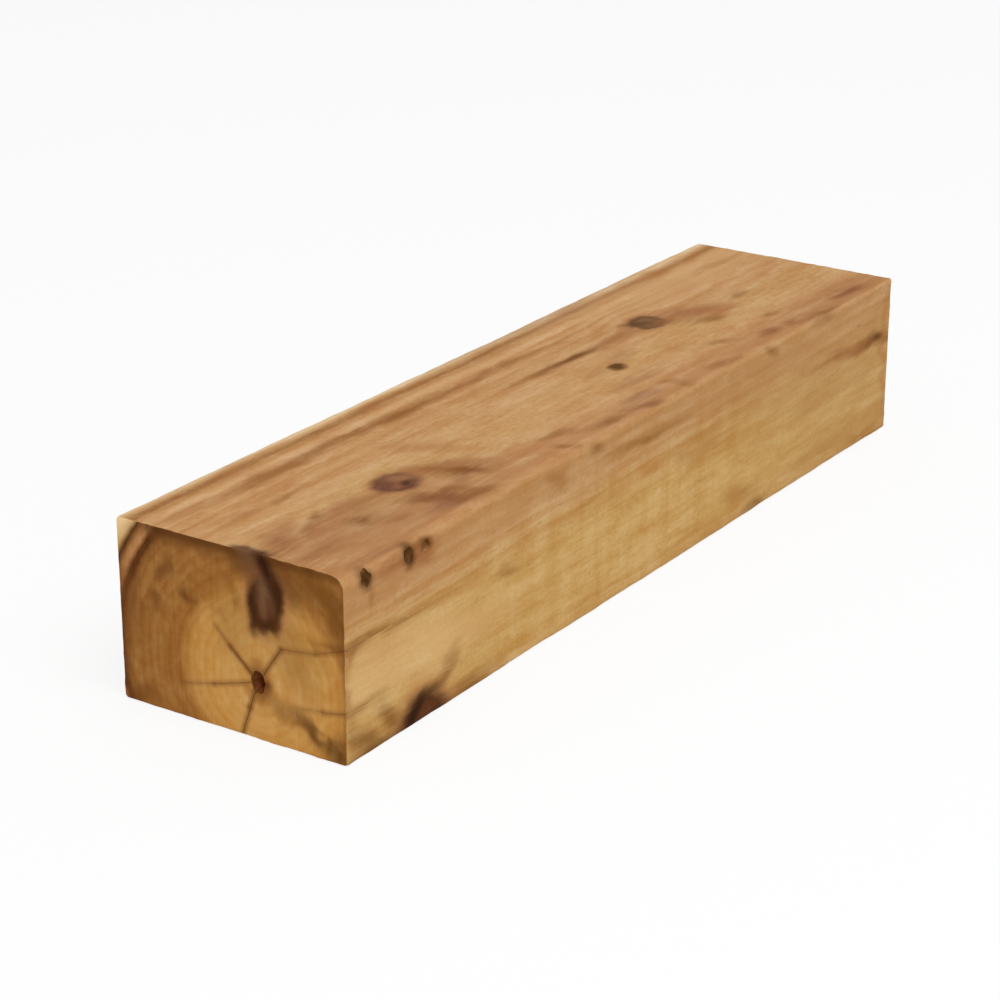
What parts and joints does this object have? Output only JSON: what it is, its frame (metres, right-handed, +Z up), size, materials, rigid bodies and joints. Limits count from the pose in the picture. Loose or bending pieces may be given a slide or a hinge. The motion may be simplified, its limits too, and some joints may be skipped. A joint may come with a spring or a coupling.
{
  "type": "cypress post",
  "caption": "Short length of sawn cypress post of rectangular section, with worn arrises, an off-centre heart and drying checks in its ends, for fence, edging and garden framing work.",
  "frame": {"origin": "centre of the underside, on the floor that the post lies on", "axes": "+X along the grain from the foot end, which shows the open heart, to the head end; +Y across the wide faces; +Z up from the floor"},
  "size_m": [0.42, 0.103, 0.073],
  "materials": {
    "cypress": "matte"
  },
  "bodies": {
    "root": {"post": "cypress"}
  },
  "joints": []
}
